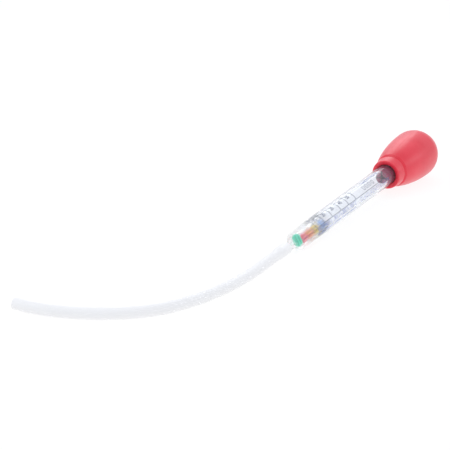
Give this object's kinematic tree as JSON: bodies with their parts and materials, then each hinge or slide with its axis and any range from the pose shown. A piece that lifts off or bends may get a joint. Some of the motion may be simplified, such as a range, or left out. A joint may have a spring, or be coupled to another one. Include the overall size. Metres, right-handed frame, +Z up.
{
  "type": "floating-ball coolant tester",
  "caption": "Hand suction tester: a rubber squeeze bulb on a clear barrel with coloured floats inside, and a clear hose on its nozzle.",
  "frame": {"origin": "bottom centre of the box round the tester without its hose, on the ground it lies on", "axes": "+X runs from the nozzle towards the bulb, +Z is up; the barrel's axis rises 3.44 degrees towards the bulb"},
  "size_m": [0.4421, 0.1277, 0.0426],
  "materials": {
    "bulb_rubber": "soft red rubber, satin",
    "barrel_clear": "clear moulded plastic, glossy, thick wall",
    "stop_dark": "dark maroon rubber, satin",
    "float_green": "mint green moulded plastic, glossy",
    "float_red": "rose red moulded plastic, glossy",
    "float_orange": "orange moulded plastic, glossy",
    "float_yellow": "yellow moulded plastic, glossy",
    "float_blue": "blue moulded plastic, glossy",
    "hose_vinyl": "clear flexible vinyl, glossy, slightly milky"
  },
  "bodies": {
    "barrel": {"barrel": "barrel_clear", "ball_stop": "stop_dark", "hose": "hose_vinyl"},
    "bulb": {"bulb": "bulb_rubber"},
    "float_green": {"float_green": "float_green"},
    "float_red": {"float_red": "float_red"},
    "float_orange": {"float_orange": "float_orange"},
    "float_yellow": {"float_yellow": "float_yellow"},
    "float_blue": {"float_blue": "float_blue"}
  },
  "joints": [
    {"name": "bulb_squeeze", "type": "slide", "parent": "barrel", "child": "bulb", "axis": [-0.9981, 0, -0.0612], "range_m": [0, 0.012], "stiffness_N_per_m": 1000},
    {"name": "float_green_slide", "type": "slide", "parent": "barrel", "child": "float_green", "axis": [0.9981, 0, 0.0612], "range_m": [0, 0.021]},
    {"name": "float_red_slide", "type": "slide", "parent": "float_green", "child": "float_red", "axis": [0.9981, 0, 0.0612], "range_m": [0, 0.021]},
    {"name": "float_orange_slide", "type": "slide", "parent": "float_red", "child": "float_orange", "axis": [0.9981, 0, 0.0612], "range_m": [0, 0.021]},
    {"name": "float_yellow_slide", "type": "slide", "parent": "float_orange", "child": "float_yellow", "axis": [0.9981, 0, 0.0612], "range_m": [0, 0.021]},
    {"name": "float_blue_slide", "type": "slide", "parent": "float_yellow", "child": "float_blue", "axis": [0.9981, 0, 0.0612], "range_m": [0, 0.021]}
  ]
}
